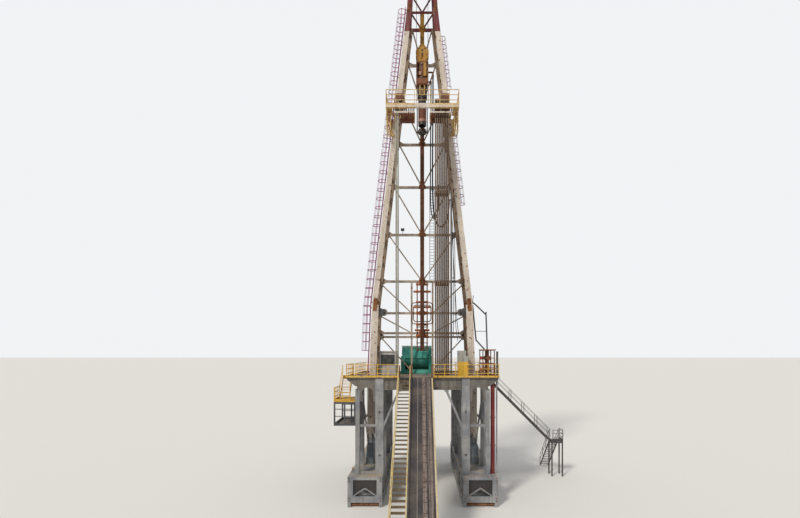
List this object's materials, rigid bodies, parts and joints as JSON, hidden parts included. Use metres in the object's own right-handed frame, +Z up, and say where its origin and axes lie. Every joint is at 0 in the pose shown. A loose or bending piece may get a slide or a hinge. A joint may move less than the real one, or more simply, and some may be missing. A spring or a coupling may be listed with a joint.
{
  "type": "land drilling rig, 1:2 scale model",
  "caption": "Land drilling rig at half scale: drill floor on box base, ramp, stairs, lattice mast with racking board, crown, travelling block and top drive.",
  "frame": {"origin": "on the ground, in the middle of the box round the whole rig", "axes": "+Z up, -Y towards the foot of the V-door ramp, +X to the right of someone who looks at the rig from the ramp's foot"},
  "size_m": [11.0604, 14.7696, 26.7904],
  "materials": {
    "structure_grey": "weathered grey paint",
    "rail_yellow": "worn yellow paint",
    "stair_pale_yellow": "faded yellow paint",
    "ramp_slate": "scuffed dark paint",
    "mast_cream": "cream paint with rust",
    "mast_red": "dark red paint",
    "sheave_steel": "greasy steel",
    "board_tan": "dusty tan paint",
    "rail_rust": "rusted steel",
    "ladder_maroon": "faded maroon paint",
    "cabin_grey": "grey paint",
    "machine_teal": "teal paint",
    "manifold_brown": "red-brown primer",
    "pipe_steel": "dull pipe steel",
    "block_orange": "worn orange paint",
    "drive_brown": "rust-stained brown paint",
    "dark_steel": "oiled dark steel",
    "wire_rope": "greased wire rope",
    "hose_black": "dull black rubber"
  },
  "bodies": {
    "rig": {"base_box_left": "structure_grey", "base_box_right": "structure_grey", "mast_pedestal_left": "structure_grey", "mast_pedestal_right": "structure_grey", "column_frame_left": "structure_grey", "column_frame_right": "structure_grey", "side_girder_left": "structure_grey", "side_girder_right": "structure_grey", "cross_girders": "structure_grey", "floor_deck": "structure_grey", "rotary_table": "structure_grey", "front_rail_left": "rail_yellow", "front_rail_right": "rail_yellow", "side_rail_left": "rail_yellow", "side_rail_right": "rail_yellow", "rear_rail": "rail_yellow", "ramp_stair": "rail_yellow", "left_landing": "rail_yellow", "landing_stair": "rail_yellow", "control_cabinet": "rail_yellow", "right_stair": "stair_pale_yellow", "right_landing": "stair_pale_yellow", "v_door_ramp": "ramp_slate", "mast_left_lower": "mast_cream", "mast_right_lower": "mast_cream", "mast_left_upper": "mast_cream", "mast_right_upper": "mast_cream", "mast_back_lower": "mast_cream", "mast_back_upper": "mast_cream", "mast_top": "mast_red", "crown_frame": "mast_red", "flow_riser": "mast_red", "crown_sheaves": "sheave_steel", "standpipe": "sheave_steel", "racking_board_left": "board_tan", "racking_board_right": "board_tan", "racking_fingers": "board_tan", "guide_rail": "rail_rust", "guide_frame": "rail_rust", "ladder_left": "ladder_maroon", "ladder_right": "ladder_maroon", "ladder_rear": "ladder_maroon", "cabin_walls": "cabin_grey", "cabin_roof": "cabin_grey", "drawworks": "machine_teal", "manifold": "manifold_brown", "drill_pipe_stands": "pipe_steel", "drill_collars": "pipe_steel", "drilling_lines": "wire_rope", "kelly_hose": "hose_black", "service_loop": "hose_black"},
    "travelling": {"travelling_block": "block_orange", "top_drive": "drive_brown", "carriage": "rail_rust"},
    "quill": {"quill": "dark_steel"},
    "links": {"elevator_links": "dark_steel", "elevator": "dark_steel"}
  },
  "joints": [
    {"name": "block_travel", "type": "slide", "parent": "rig", "child": "travelling", "axis": [0, 0, 1], "range_m": [-11, 1.5], "deforming": ["drilling_lines", "kelly_hose", "service_loop"]},
    {"name": "quill_spin", "type": "hinge", "parent": "travelling", "child": "quill", "pos_m": [-1.7802, 3.2346, 18.4], "axis": [0, 0, 1], "continuous": true},
    {"name": "link_tilt", "type": "hinge", "parent": "travelling", "child": "links", "pos_m": [-1.7802, 3.2346, 18.4996], "axis": [-1, 0, 0], "range_deg": [-5, 35]}
  ]
}
